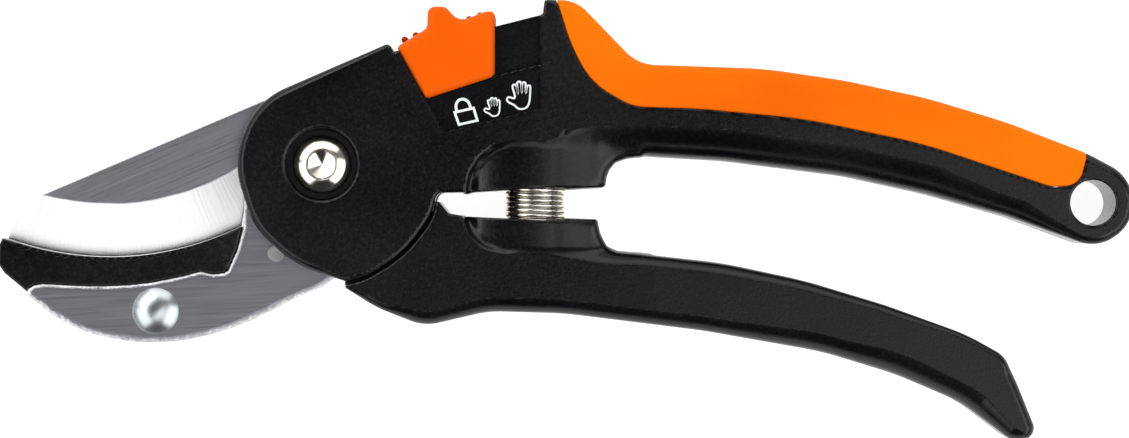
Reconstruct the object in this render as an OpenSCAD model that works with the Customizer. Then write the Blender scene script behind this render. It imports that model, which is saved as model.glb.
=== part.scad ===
// Contact pruner, closed and locked, lying on its back face.
// X runs from the jaw tips to the handle ends, Y across the levers,
// Z through the thickness. All lengths in millimetres.

/* [Levers] */
// Thickness of the upper handle and the head
body_t = 18; // [16:0.5:20]
// Thickness of the lower handle
lower_t = 17.2; // [15:0.2:18]
// Radius of the hanging hole
hang_r = 4.2; // [3:0.1:4.5]
// Radius of the spring pockets
pocket_r = 6.0; // [5.8:0.1:6.5]

/* [Cutting head] */
// Thickness of the blade
blade_t = 3; // [2:0.1:3.2]
// Thickness of each jaw plate
plate_t = 2; // [1.5:0.1:2.5]
// Gap between blade and plate, filled by a thrust washer
washer_gap = 0.5; // [0.4:0.05:0.6]
// Pitch of the scallops along the anvil pad
scallop_pitch = 1.45; // [1.2:0.05:2]
// Radius of the anvil rivet's head
rivet_r = 4.35; // [3.5:0.05:4.6]

/* [Pivot] */
// Radius of the pivot bolt's shank
bolt_r = 3; // [2.5:0.1:3.2]
// Radius of the pivot bolt's head
bolt_head_r = 5.4; // [5:0.1:6]
// Radius of the counterbore round the bolt's head
counterbore_r = 6.9; // [6.4:0.1:7.4]
// Outer radius of the bushing that the blade turns on
bushing_r = 4.5; // [4.2:0.1:5]
// Width across the flats of the bolt's hexagon socket
socket_af = 5; // [4:0.5:6]

/* [Lock slider] */
// Travel of the lock slider
slider_travel = 8.5; // [6:0.5:8.5]
// Slope of the track in degrees
track_angle = 14; // [14:1:14]

/* [Return spring] */
// Mean radius of the coil
coil_r = 5.1; // [4.5:0.1:5.2]
// Radius of the wire
wire_r = 0.45; // [0.35:0.05:0.5]
// Number of turns
coil_turns = 24; // [12:1:26]

/* [Hidden] */
$fn = 64;

zm = 9;                                  // middle plane of the tool
blade_lo = zm - blade_t / 2;
blade_hi = zm + blade_t / 2;
plate_in = blade_t / 2 + washer_gap;     // inner face of a plate from the middle
plate_out = plate_in + plate_t;          // outer face of a plate from the middle
PX = -44.8;                              // pivot axis
PY = 10;
seam_r = 22;                             // round end of the head
nose_r = 22.45;                          // hollow end of the lower handle
EX = -84.7;                              // centre of the cutting edge's arc
EY = 48.6;
edge_r = 55.8;
RX = -75.9;                              // anvil rivet
RY = -17.2;
HX = 97.7;                               // hanging hole
HY = 2.9;
SX = -5.4;                               // spring axis, along Y
seat_up = 16.2;                          // spring seat faces
seat_lo = -9.8;

// corners are [x, y, corner radius, edge round inwards]; anticlockwise
function polar(r, a) = [PX + r * cos(a), PY + r * sin(a)];
// a corner that keeps an arc of radius r about the pivot, half a step each side
function on_arc(r, a, half, w) =
    let (p = polar(r / cos(half), a)) [p[0], p[1], r, w];
UPPER = [
    [-40.3, -11.6, 0.7, 0.7], on_arc(seam_r, -67.5, 10.72, 0.7),
    on_arc(seam_r, -46.05, 10.72, 0.7), on_arc(seam_r, -24.6, 10.72, 0.7),
    [-23.35, 4.7, 0.5, 0.6],
    [-17.8, 5.1, 0.8, 0.8], [-15.9, 10.2, 3, 1.8], [-9, 11.4, 6, 4.2],
    [14, 11.6, 30, 5.6], [29.5, 10.7, 60, 5.8], [51.9, 7.9, 60, 5.6],
    [66.9, 4.6, 60, 5.4], [81.8, 0.5, 60, 3.7], [91.5, -3.0, 20, 2.0],
    [98.9, -5.6, 7.5, 1.3], [105.5, -0.6, 7.5, 1.2], [104.8, 7.7, 7.5, 1.2],
    [96.8, 12.0, 30, 1.8], [81.8, 17.8, 80, 2.4],
    [66.9, 22.3, 80, 2.5], [51.9, 25.5, 80, 2.5], [37.0, 27.7, 80, 2.5],
    [13.7, 28.5, 8, 2.5], [2.2, 40.4, 7, 2.5], [-3.6, 40.4, 0.7, 0.5],
    [-3.9, 37.8, 0.4, 0.5], [-31.5, 30.8, 0.4, 0.5], [-32.3, 32.4, 1.0, 0.8],
    [-56.9, 21.8, 15.4, 1.2], [-61.3, 10.6, 15.4, 1.2], [-57.4, -1.6, 14, 1.2],
    [-49.5, -8.8, 25, 1.2]];
LOWER = [
    [-41.0, -12.4, 0.4, 0.4], [-35.0, -16.3, 25, 1.2], [-26.0, -20.0, 9, 2.4],
    [-14, -17.2, 20, 2.6], [0, -17.6, 60, 2.6], [25.8, -20.8, 100, 2.7],
    [47.8, -24.7, 60, 3.4], [61.5, -28.9, 60, 4.4], [73.4, -34.0, 25, 4.8],
    [83.6, -41.7, 4.6, 3.0], [87.6, -39.9, 2.6, 2.2], [83.7, -30.2, 50, 1.5],
    [81.3, -25.3, 5, 1.0], [74.3, -21.4, 40, 0.9], [59.4, -16.0, 80, 1.4],
    [44.5, -11.5, 80, 1.7], [29.5, -8.3, 80, 2.0], [14, -6.6, 30, 2.0],
    [-11, -6.0, 5, 2.0], [-17.2, -2.0, 4, 0.8], [-18.8, 0.3, 0.6, 0.5],
    [-21.3, 0.9, 2, 0.4], [-23.35, 3.4, 0.3, 0.3], on_arc(nose_r, -27.65, 10.55, 0.4),
    on_arc(nose_r, -48.75, 10.55, 0.4), on_arc(nose_r, -69.85, 10.55, 0.4)];
// lower boundary of the soft grip, left to right, then its rounded end
GRIP = [
    [-1.3, 42, 0, 0], [-1.3, 40.2, 1, 0], [1.4, 31.6, 40, 0],
    [5.1, 25.0, 14, 0], [12.5, 20.6, 10, 0], [25, 20.2, 80, 0],
    [44.0, 18.4, 100, 0], [66.1, 13.8, 100, 0], [90.0, 5.8, 5, 0],
    [95.2, 6.1, 4, 0], [96.5, 11.2, 4, 0], [96.8, 16, 1, 0],
    [60, 44, 1, 0]];

function unit(v) = v / norm(v);
function cross2(a, b) = a[0] * b[1] - a[1] * b[0];
// one rounded corner: list of [x, y, normal x, normal y, round]
function round_corner(p, c, q, step) =
    let (a = [p[0], p[1]], b = [c[0], c[1]], d = [q[0], q[1]],
         u = unit(a - b), v = unit(d - b),
         half = acos(max(-1, min(1, u * v))) / 2,
         t = min(c[2] / tan(half), 0.49 * norm(a - b), 0.49 * norm(d - b)),
         r = t * tan(half), convex = cross2(b - a, d - b) > 0 ? 1 : -1,
         m = b + unit(u + v) * r / sin(half),
         s = b + u * t - m, a0 = atan2(s[1], s[0]),
         sweep = convex * (180 - 2 * half),
         n = max(2, ceil(abs(sweep) / (r < 2 ? 30 : step))))
    [for (i = [0:n]) let (g = a0 + sweep * i / n)
        [m[0] + r * cos(g), m[1] + r * sin(g),
         convex * cos(g), convex * sin(g),
         convex > 0 ? min(c[3], 0.68 * r) : c[3]]];
function outline(c, step = 12) =
    [for (i = [0:len(c) - 1])
        each round_corner(c[(i + len(c) - 1) % len(c)], c[i],
                          c[(i + 1) % len(c)], step)];
function flat(o) = [for (p = o) [p[0], p[1]]];

// a solid with a flat face on each side and edges rounded inwards by each
// corner's own amount; rings run from back to front, and the flat faces are
// cut across the outermost rings
module rounded_body(c, t, step = 12) {
    o = outline(c, step);
    n = len(o);
    a0 = 22;
    lev = [9, 29, 50, 70, 90];
    k = len(lev) - 1;
    ring = function (a, side) [for (p = o)
        let (w = p[4], h = min(6.5, 1.15 * w),
             f = (1 - sin(a)) / (1 - sin(a0)),
             z = h * (cos(a0) - cos(a)) / cos(a0))
        [p[0] - p[2] * w * f, p[1] - p[3] * w * f,
         side > 0 ? zm + t / 2 - z : zm - t / 2 + z]];
    pts = [for (a = lev) each ring(a, -1),
           for (i = [0:k]) each ring(lev[k - i], 1)];
    m = 2 * (k + 1);
    intersection() {
        polyhedron(pts, [
            [for (i = [0:n - 1]) i],
            [for (i = [0:n - 1]) (m - 1) * n + n - 1 - i],
            for (j = [0:m - 2]) for (i = [0:n - 1]) let (e = (i + 1) % n)
                each [[j * n + i, (j + 1) * n + i, (j + 1) * n + e],
                      [j * n + i, (j + 1) * n + e, j * n + e]]]);
        translate([-150, -100, zm - t / 2]) cube([300, 200, t]);
    }
}

module slab(lo, hi, pts) {
    translate([0, 0, lo]) linear_extrude(hi - lo) polygon(pts);
}
module disc(x, y, r, lo, hi) {
    translate([x, y, lo]) cylinder(r = r, h = hi - lo);
}
function edge(r, a) = [EX + r * cos(a), EY + r * sin(a)];
// half-barrel over a spring pocket, oval across, along Y
module barrel(cx, ax, az, y0, y1) {
    translate([cx, y1, zm]) rotate([90, 0, 0]) linear_extrude(y1 - y0)
        polygon([for (i = [0:39]) [ax * cos(9 * i + 4.5), az * sin(9 * i + 4.5)]]);
}
module along_y(r, y0, y1) {
    translate([SX, y1, zm]) rotate([90, 0, 0]) cylinder(r = r, h = y1 - y0);
}
// track coordinates: distance along the track from its left end, and above it
TX = -31.2;
TY = 30.9;
function track(s, v) = [TX + s * cos(track_angle) - v * sin(track_angle),
                        TY + s * sin(track_angle) + v * cos(track_angle)];

// outline shared by both jaw plates
PLATE = concat(
    [[-99.7, -14.4], [-95.3, -17.8], [-92, -19.7], [-88.7, -21.2], [-85.3, -22.1],
     [-82, -22.7], [-79, -23.0], [-76, -23.1], [-72.6, -22.9], [-69.3, -22.4],
     [-65.6, -21.6], [-62, -20.5], [-58.3, -19.0], [-54.7, -17.3], [-51.3, -15.5],
     [-48, -13.9], [-45.5, -12.9], [-42, -10.5]],
    [for (a = [-60:10:-10]) polar(14.5, a)],
    [[-27, 12.6], [-14, 17.45], [3, 17.6], [5, 20.2], [3, 22.6], [-26, 22.0]],
    [for (a = [60:12:168]) polar(14.5, a)],
    [[-59.4, 4.4], [-59.6, -2.0], [-60.7, -5.9], [-62.4, -9.7], [-63.2, -10.2],
     [-65.4, -10.4], [-67.6, -9.9], [-70.5, -10.7], [-73.4, -11.3], [-77, -12.0],
     [-80.7, -12.4], [-84.7, -12.6], [-88.7, -12.6], [-93, -12.4], [-96.8, -12.2],
     [-98.6, -12.5], [-99.7, -13.2]]);

module jaw_plate(lo, hi) {
    difference() {
        slab(lo, hi, PLATE);
        disc(PX, PY, bolt_r + 0.02, lo - 1, hi + 1);
        disc(RX, RY, 2.02, lo - 1, hi + 1);
        disc(-53.5, -6.5, 1.52, lo - 1, hi + 1);
    }
}

// plan of the blade: tip, spine, hub, tang, cutting edge
BLADE = concat(
    [[-103.8, -3.7], [-103.2, -2.0], [-102.1, 0.2], [-100.7, 2.1], [-99.3, 3.4],
     [-97.7, 4.2]],
    [for (a = [113:-8:-7]) polar(15.4, a)],
    [polar(15.6, -13), [-26.5, 0.5], [-20, -6.3], [-13, -11.6], [1.6, -11.6],
     [4, -10.8], [11.5, -11.4], [13, -13.2], [11.5, -15.0], [3, -15.2], [-12, -14.8],
     [-22, -14.6], [-30, -12.3], [-38.5, -8.0]],
    [for (a = [-100:-10:-160]) polar(15.4, a)],
    [for (i = [0:20]) edge(edge_r - 0.12, -63.9 - i * 2.31)]);

module slot_through_head() {
    // open on the left, along the bottom and round the hub
    slab(zm - plate_out, zm + plate_out, concat(
        [for (a = [84:-14:-14]) polar(16.2, a)],
        [polar(23.6, -12), polar(40, -12), polar(50, -60), polar(40, -106),
         [-100, -40], [-100, 50], polar(60, 88), polar(24, 84)]));
    disc(PX, PY, 16.2, zm - plate_out, zm + plate_out);
}

module slider_recess(lo, hi, deep) {
    // shallow panel for the position marks
    slab(lo, hi, [[-32.0, 33.5], [-22.4, 15.8], [-4.35, 20.3], [-4.35, 45],
                  [-36, 45]]);
}
module slider_groove(lo, hi) {
    slab(lo, hi, [[-32.0, 33.5], [-26.2, 22.9], [-4.35, 28.4], [-4.35, 45],
                  [-36, 45]]);
}

module upper_handle_core() {
    color([0.09, 0.09, 0.1]) difference() {
        union() {
            difference() {
                rounded_body(UPPER, body_t);
                // zone of the soft grip, with the rib that it is moulded on left in
                slab(-1, 4.5, flat(outline(GRIP)));
                slab(13.5, 20, flat(outline(GRIP)));
                difference() {
                    slab(4.4, 13.6, flat(outline(GRIP)));
                    slab(4.4, 13.6, [[-6, 39], [1.0, 36.6], [4.6, 31.6], [8, 27.6],
                        [14, 25.4], [37, 24.6], [52, 22.4], [67, 19.2], [82, 14.7],
                        [93, 10.4], [93, -20], [-6, -20]]);
                }
            }
            // dome over the upper spring pocket
            intersection() {
                barrel(SX, 12.9, 8.6, 4, 15.4);
                slab(-1, 20, [[-18.5, 4.75], [7.5, 6.3], [7.5, 15.4], [-18.5, 15.4]]);
            }
            // web between the dome and the handle
            slab(3, 15, [[6, 6.4], [7.3, 6.4], [7.6, 7.8], [8.3, 9.0], [9.7, 10.4],
                         [11.8, 11.3], [14.2, 11.6], [14.2, 12.6], [6, 12.6]]);
        }
        slot_through_head();
        // pockets for the plates' tails
        for (s = [-1, 1]) translate([0, 0, zm + s * (plate_in + plate_t / 2)])
            slab(-plate_t / 2, plate_t / 2,
                 [[-32, 0], [-27, 12.6], [-14, 17.45], [3, 17.6], [5, 20.2],
                  [3, 22.6], [-26, 22.0], [-36, 24]]);
        // counterbore, bolt hole and nut pocket
        disc(PX, PY, counterbore_r, 14.4, 20);
        disc(PX, PY, bolt_r + 0.02, -1, 20);
        translate([PX, PY, -1]) cylinder(r = 10.1 / sqrt(3), h = 5, $fn = 6);
        disc(HX, HY, hang_r, -1, 20);
        // spring pocket
        along_y(pocket_r, -2, seat_up + 1.2);
        // lock slider's panels and groove, front and back
        slider_recess(17.0, 20);
        slider_groove(15.4, 20);
        slider_recess(-2, 1.0);
        slider_groove(-2, 2.6);
        // slot for the lock pin
        hull() {
            disc(-24, 27, 1.6, 0, 18);
            disc(-24 + (slider_travel + 0.2) * cos(track_angle),
                 27 + (slider_travel + 0.2) * sin(track_angle), 1.6, 0, 18);
        }
        // pocket for the detent leaf, open to the track
        slab(6.9, 11.1, [track(7.9, 1), track(7.9, -1.9), track(19.1, -1.9),
                         track(19.1, 1)]);
        disc(-53.5, -6.5, 1.52, 3.7, 14.3);
    }
}

module upper_soft_grip() {
    color([0.95, 0.42, 0.0]) difference() {
        intersection() {
            rounded_body(UPPER, body_t);
            slab(-1, 20, flat(outline(GRIP)));
        }
        slab(4.5, 13.5, [[-6, 39], [1.0, 36.6], [4.6, 31.6], [8, 27.6],
            [14, 25.4], [37, 24.6], [52, 22.4], [67, 19.2], [82, 14.7],
            [93, 10.4], [93, -20], [-6, -20]]);
    }
}

module anvil_plate_front() {
    color([0.55, 0.56, 0.58]) jaw_plate(zm + plate_in, zm + plate_out);
}
module anvil_plate_back() {
    color([0.55, 0.56, 0.58]) jaw_plate(zm - plate_out, zm - plate_in);
}

module anvil_pad() {
    color([0.12, 0.11, 0.13]) difference() {
        union() {
            // working bar, a little narrower than the two plates together
            slab(zm - 3.6, zm + 3.6, concat(
                [[-105.2, -8.5], [-104, -10.2], [-99.9, -13.6], [-99.2, -12.9],
                 [-98.6, -12.5], [-96.8, -12.2], [-93, -12.4], [-88.7, -12.6],
                 [-84.7, -12.6], [-80.7, -12.4], [-77, -12.0], [-73.4, -11.3],
                 [-70.5, -10.7], [-67.6, -9.9], [-65.4, -10.4], [-63.2, -10.2],
                 [-62.5, -9.7], [-60.9, -5.9], [-59.9, -1.9]],
                [for (i = [0:20]) edge(edge_r, -64.3 - i * 2.24)],
                [[-104.6, -4.0], [-105.1, -5.0]]));
            // tongue between the plates
            slab(zm - plate_in, zm + plate_in, [[-96, -11.5], [-93.5, -16.5], [-86, -20],
                [-76, -21.6], [-67, -20.2], [-63.5, -16], [-64, -9.8], [-80, -11]]);
        }
        disc(RX, RY, 2.02, 0, 18);
        for (i = [0:26]) let (p = edge(edge_r - 0.35, -68.5 - i * 1.49))
            for (z = [zm - 3.7, zm + 2.7]) disc(p[0], p[1], 0.62, z, z + 1);
    }
}

module rivet(x, y, r, shank, lo, hi, rise) {
    difference() {
        translate([x, y, 0]) rotate_extrude() polygon(concat(
            [[0, lo - rise]],
            [for (i = [0:8]) [r * sin(10 + 10 * i), lo - rise * cos(10 + 10 * i)]],
            [[shank, lo], [shank, hi]],
            [for (i = [8:-1:0]) [r * sin(10 + 10 * i), hi + rise * cos(10 + 10 * i)]],
            [[0, hi + rise]]));
    }
}
module anvil_rivet() {
    color([0.72, 0.72, 0.74])
        rivet(RX, RY, rivet_r, 2, zm - plate_out, zm + plate_out, 1.6);
}
module heel_rivet() {
    color([0.6, 0.6, 0.62]) disc(-53.5, -6.5, 1.5, 3.9, 14.1);
}

module pivot_bolt() {
    color([0.8, 0.8, 0.82]) difference() {
        translate([PX, PY, 0]) rotate_extrude() polygon(
            [[0, 1.2], [bolt_r - 0.4, 1.2], [bolt_r, 1.6], [bolt_r, 15.2],
             [bolt_head_r, 15.2], [bolt_head_r, 15.7], [5.1, 16.5], [4.5, 17.1],
             [3.7, 17.5], [2.9, 17.7], [0, 17.7]]);
        translate([PX, PY, 15.5]) cylinder(r = socket_af / sqrt(3), h = 4, $fn = 6);
    }
}
module ring(r_in, r_out, lo, hi) {
    difference() {
        disc(PX, PY, r_out, lo, hi);
        disc(PX, PY, r_in, lo - 1, hi + 1);
    }
}
module bolt_washer() { color([0.6, 0.6, 0.62]) ring(bolt_r + 0.1, 6.4, 14.4, 15.2); }
module pivot_bushing() {
    color([0.62, 0.55, 0.35]) ring(bolt_r + 0.02, bushing_r, zm - plate_in, zm + plate_in);
}
module thrust_washer_front() {
    color([0.62, 0.55, 0.35]) ring(bushing_r + 0.02, 9, blade_hi + 0.02, zm + plate_in);
}
module thrust_washer_back() {
    color([0.62, 0.55, 0.35]) ring(bushing_r + 0.02, 9, zm - plate_in, blade_lo - 0.02);
}
module pivot_nut() {
    color([0.6, 0.6, 0.62]) difference() {
        intersection() {
            translate([PX, PY, 0.6]) cylinder(r = 10 / sqrt(3), h = 3.4, $fn = 6);
            translate([PX, PY, 0.6]) cylinder(r1 = 5.2, r2 = 8.6, h = 3.4);
        }
        disc(PX, PY, bolt_r + 0.02, 0, 6);
    }
}

module spring_seat(y0, y1, peg) {
    along_y(pocket_r - 0.02, y0, y1);
    along_y(4.2, min(y0, peg), max(y1, peg));
}
module upper_spring_seat() {
    color([0.15, 0.15, 0.16]) spring_seat(seat_up, seat_up + 1.2, seat_up - 3);
}
module lower_spring_seat() {
    color([0.15, 0.15, 0.16]) spring_seat(seat_lo - 1.2, seat_lo, seat_lo + 3);
}
module detent_leaf() {
    color([0.7, 0.7, 0.72]) slab(7, 11,
        [track(8, -1.8), track(19, -1.8), track(19, -1.4), track(15.2, -1.4),
         track(13.5, -0.4), track(11.8, -1.4), track(8, -1.4)]);
}

module lower_handle_core() {
    color([0.09, 0.09, 0.1]) difference() {
        union() {
            rounded_body(LOWER, lower_t);
            // dome over the lower spring pocket
            intersection() {
                barrel(-6.0, 13.2, 8.2, -8.4, 1);
                slab(0, 18, [[-19.2, 0.45], [6.0, -0.75], [7.2, -4.2], [9.0, -6.0],
                             [9.0, -8.4], [-19.2, -8.4]]);
            }
            slab(3.5, 14.5, [[5.5, -0.8], [5.9, -0.8], [6.5, -2.9], [8, -5.1],
                             [9.9, -6.3], [13, -6.7], [13, -8], [5.5, -8]]);
        }
        along_y(pocket_r, seat_lo - 1.2, 5);
        // room for the heel of the jaw plates when open
        slab(zm - plate_out - 0.4, zm + plate_out + 0.4, concat(
            [for (a = [-96:6:-48]) polar(31, a)], [polar(20, -40), polar(20, -96)]));
        // pocket for the blade's tang
        slab(blade_lo, blade_hi, [polar(20, -16), [-26.5, 0.5], [-20, -6.3],
            [-13, -11.6], [1.6, -11.6], [4, -10.8], [11.5, -11.4], [13, -13.2], [11.5, -15.0],
            [3, -15.2], [-12, -14.8], [-22, -14.6], [-30, -12.3], [-38.5, -8.0],
            polar(12, -60)]);
        disc(-16, -11.8, 1.52, 3, 15);
        disc(6, -13, 1.52, 3, 15);
    }
}
module blade() {
    color([0.75, 0.76, 0.78]) difference() {
        slab(blade_lo, blade_hi, BLADE);
        disc(PX, PY, bushing_r + 0.03, 0, 18);
        disc(-16, -11.8, 1.52, 0, 18);
        disc(6, -13, 1.52, 0, 18);
        // ground bevel along the edge, on both faces
        for (s = [-1, 1]) translate([EX, EY, zm]) scale([1, 1, s])
            rotate([0, 0, -112]) rotate_extrude(angle = 50, $fn = 180)
                polygon([[edge_r - 10, blade_t / 2], [edge_r, 0.12], [edge_r + 8, 0.12],
                         [edge_r + 8, 4], [edge_r - 10, 4]]);
    }
}
module tang_pin_inner() { color([0.6, 0.6, 0.62]) disc(-16, -11.8, 1.5, 3.2, 14.8); }
module tang_pin_outer() { color([0.6, 0.6, 0.62]) disc(6, -13, 1.5, 3.2, 14.8); }

SLIDER = [
    [-31.0, 31.7, 0.6, 0], [-25.6, 21.9, 1.0, 0], [-12.8, 26.1, 1.0, 0],
    [-12.8, 38.3, 0.8, 0], [-14.5, 38.3, 3, 0], [-19.4, 36.5, 2.5, 0],
    [-21.9, 39.2, 1.5, 0], [-25.2, 39.2, 1.2, 0], [-25.3, 35.2, 1.0, 0]];
module lock_slider() {
    color([0.95, 0.38, 0.0]) difference() {
        slab(0.4, 18, flat(outline(SLIDER, 18)));
        // hollow that straddles the head
        slab(2.4, 15.6, [track(-2, 0.3), track(-2, -15), track(30, -15),
                         track(30, 0.3)]);
        // lips that lie over the panels with the position marks
        for (z = [[15, 17.2], [0.8, 3]])
            slab(z[0], z[1], [[-33, 21.5], [-26.6, 23.1], [-10, 27.3], [-10, 15],
                              [-33, 15]]);
        disc(-24, 27, 1.3, 1.4, 16.8);
    }
}
module lock_pin() { color([0.7, 0.7, 0.72]) disc(-24, 27, 1.3, 1.4, 16.8); }

// closed coil, a ring of points every 30 degrees
module return_spring() {
    rise = seat_up - seat_lo - 2 * wire_r - 0.04;
    n = 12 * coil_turns;
    sides = 6;
    c = function (i) let (a = 360 * i * coil_turns / n)
        [coil_r * cos(a), rise * i / n, coil_r * sin(a)];
    pts = [for (i = [0:n]) let (a = 360 * i * coil_turns / n, p = c(i))
        for (j = [0:sides - 1]) let (g = 360 * j / sides)
        [SX + p[0] + wire_r * cos(g) * cos(a), seat_lo + wire_r + 0.02 + p[1] + wire_r * sin(g),
         zm + p[2] + wire_r * cos(g) * sin(a)]];
    color([0.7, 0.7, 0.72]) polyhedron(pts, [
        [for (j = [0:sides - 1]) sides - 1 - j],
        [for (j = [0:sides - 1]) n * sides + j],
        for (i = [0:n - 1]) for (j = [0:sides - 1]) let (k = (j + 1) % sides)
            [i * sides + j, i * sides + k, (i + 1) * sides + k, (i + 1) * sides + j]]);
}

upper_handle_core();
upper_soft_grip();
anvil_plate_front();
anvil_plate_back();
anvil_pad();
anvil_rivet();
heel_rivet();
pivot_bolt();
bolt_washer();
pivot_bushing();
thrust_washer_front();
thrust_washer_back();
pivot_nut();
upper_spring_seat();
detent_leaf();
lower_handle_core();
blade();
tang_pin_inner();
tang_pin_outer();
lower_spring_seat();
lock_slider();
lock_pin();
return_spring();
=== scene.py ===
import math
import bpy
import numpy as np
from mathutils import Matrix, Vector


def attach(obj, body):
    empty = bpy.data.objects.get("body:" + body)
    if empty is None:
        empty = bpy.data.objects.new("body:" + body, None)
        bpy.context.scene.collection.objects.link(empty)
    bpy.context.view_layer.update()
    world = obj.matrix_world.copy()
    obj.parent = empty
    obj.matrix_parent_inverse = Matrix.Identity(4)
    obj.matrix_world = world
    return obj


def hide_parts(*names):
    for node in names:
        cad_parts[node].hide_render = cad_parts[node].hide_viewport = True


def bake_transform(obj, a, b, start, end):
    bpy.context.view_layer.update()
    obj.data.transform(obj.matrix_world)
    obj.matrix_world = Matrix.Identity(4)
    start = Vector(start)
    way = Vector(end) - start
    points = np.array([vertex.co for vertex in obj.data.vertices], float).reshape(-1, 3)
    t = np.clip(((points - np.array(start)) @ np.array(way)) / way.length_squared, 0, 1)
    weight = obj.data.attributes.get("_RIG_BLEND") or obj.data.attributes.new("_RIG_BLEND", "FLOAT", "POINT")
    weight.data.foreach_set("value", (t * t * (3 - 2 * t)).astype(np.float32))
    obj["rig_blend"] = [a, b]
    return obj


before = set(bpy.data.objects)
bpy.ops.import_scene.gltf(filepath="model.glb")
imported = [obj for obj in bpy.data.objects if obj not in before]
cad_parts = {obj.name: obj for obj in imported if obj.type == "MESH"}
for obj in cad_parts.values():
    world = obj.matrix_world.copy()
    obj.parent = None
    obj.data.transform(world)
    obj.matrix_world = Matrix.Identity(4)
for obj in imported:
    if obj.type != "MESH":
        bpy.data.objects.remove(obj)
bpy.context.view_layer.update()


# ---------------------------------------------------------------- camera
MM = 0.001
cam_data = bpy.data.cameras.new("camera")
camera = bpy.data.objects.new("camera", cam_data)
bpy.context.scene.collection.objects.link(camera)
bpy.context.scene.camera = camera
cam_data.sensor_width = 36.0
cam_data.lens = 36.0 * 743.0 / 210.9
cam_data.clip_start = 0.01
cam_data.clip_end = 20.0
camera.location = (0.0001, -0.0001, 0.752)
camera.rotation_euler = (0.0, 0.0, 0.0)

# ---------------------------------------------------------------- sizes, in mm
ZM = 9.0
T_UP = 9.0
T_LO = 8.6
PX, PY = -44.8, 10.0
EX, EY, EDGE_R = -84.7, 48.6, 55.8
RX, RY = -75.9, -17.2
HX, HY = 97.7, 2.9
SX = -5.4
SEAT_UP, SEAT_LO = 16.2, -9.8
SLOPE = math.radians(14.0)
TX, TY = -31.2, 30.9



def polar(r, deg):
    return (PX + r * math.cos(math.radians(deg)), PY + r * math.sin(math.radians(deg)))


def on_arc(r, deg, half, w):
    return (*polar(r / math.cos(math.radians(half)), deg), r, w)


UPPER = [
    (-40.3, -11.6, 0.7, 0.7), on_arc(22, -67.5, 10.72, 0.7), on_arc(22, -46.05, 10.72, 0.7),
    on_arc(22, -24.6, 10.72, 0.7), (-23.45, 4.8, 1.5, 0.6),
    (-18.2, 4.85, 0.5, 0.7), (-17.4, 8.4, 5, 0.5), (-15.6, 11.4, 5, 0.5),
    (-13.0, 13.5, 5, 0.6), (-9.6, 14.8, 6, 0.8), (-4.6, 14.3, 8, 1.5),
    (0, 12.9, 12, 3.7), (5.5, 11.9, 14, 5.0),
    (14, 11.6, 30, 5.6), (29.5, 10.7, 60, 5.8), (51.9, 7.9, 60, 5.6),
    (66.9, 4.6, 60, 5.4), (81.8, 0.5, 60, 3.7), (91.5, -3.0, 20, 2.0),
    (98.9, -5.6, 7.5, 1.3), (105.5, -0.6, 7.5, 1.2), (104.8, 7.7, 7.5, 1.2),
    (96.8, 12.0, 30, 1.2), (81.8, 17.8, 80, 1.3),
    (66.9, 22.3, 80, 1.3), (51.9, 25.5, 80, 1.3), (37.0, 27.7, 80, 1.3),
    (13.7, 28.5, 8, 1.4), (2.2, 40.4, 7, 1.3), (-3.6, 40.4, 0.7, 0.5),
    (-3.9, 37.8, 0.4, 0.5), (-31.5, 30.8, 0.4, 0.5), (-32.3, 32.4, 1.0, 0.8),
    (-56.9, 21.8, 15.4, 1.2), (-61.3, 10.6, 15.4, 1.2), (-57.4, -1.6, 14, 1.2),
    (-49.5, -8.8, 25, 1.2)]
LOWER = [
    (-41.0, -12.4, 0.4, 0.4), (-35.0, -16.3, 25, 1.2), (-26.0, -20.0, 9, 2.4),
    (-14, -17.2, 20, 2.6), (0, -17.6, 60, 2.6), (25.8, -20.8, 100, 2.7),
    (47.8, -24.7, 60, 3.4), (61.5, -28.9, 60, 4.0), (73.4, -34.0, 25, 3.6),
    (83.6, -41.7, 4.6, 2.2), (87.6, -39.9, 2.6, 1.8), (83.7, -30.2, 50, 1.5),
    (81.3, -25.3, 5, 1.0), (74.3, -21.4, 40, 0.9), (59.4, -16.0, 80, 1.4),
    (44.5, -11.5, 80, 1.7), (29.5, -8.3, 80, 2.0), (14, -6.6, 30, 2.0),
    (5.5, -6.7, 20, 1.7), (-4.4, -6.8, 12, 0.8), (-10.8, -6.8, 6, 0.6),
    (-14.7, -5.5, 5, 0.5), (-17.1, -3.2, 5, 0.5), (-18.8, 0.5, 0.6, 0.5),
    (-21.3, 0.9, 0.7, 0.4), (-23.35, 3.4, 0.3, 0.3), on_arc(22.45, -27.65, 10.55, 0.4),
    on_arc(22.45, -48.75, 10.55, 0.4), on_arc(22.45, -69.85, 10.55, 0.4)]
GRIP = [
    (-1.3, 46, 0.5, 0), (-1.3, 40.2, 1, 0), (1.4, 31.6, 40, 0),
    (5.1, 25.0, 14, 0), (12.5, 20.6, 10, 0), (25, 20.2, 80, 0),
    (44.0, 18.4, 100, 0), (66.1, 13.8, 100, 0), (90.0, 5.8, 5, 0),
    (95.2, 6.1, 4, 0), (96.5, 11.2, 4, 0), (96.8, 20, 1, 0),
    (60, 48, 1, 0)]
SLIDER = [
    (-31.0, 31.7, 0.9, 0), (-25.6, 21.9, 1.0, 0), (-12.8, 26.1, 1.2, 0),
    (-12.8, 38.3, 1.2, 0), (-14.5, 38.3, 3, 0), (-19.4, 36.4, 2.8, 0),
    (-21.9, 39.2, 1.8, 0), (-25.2, 39.2, 1.4, 0), (-25.3, 35.2, 1.6, 0)]

# ---------------------------------------------------------------- flat outlines


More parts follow.
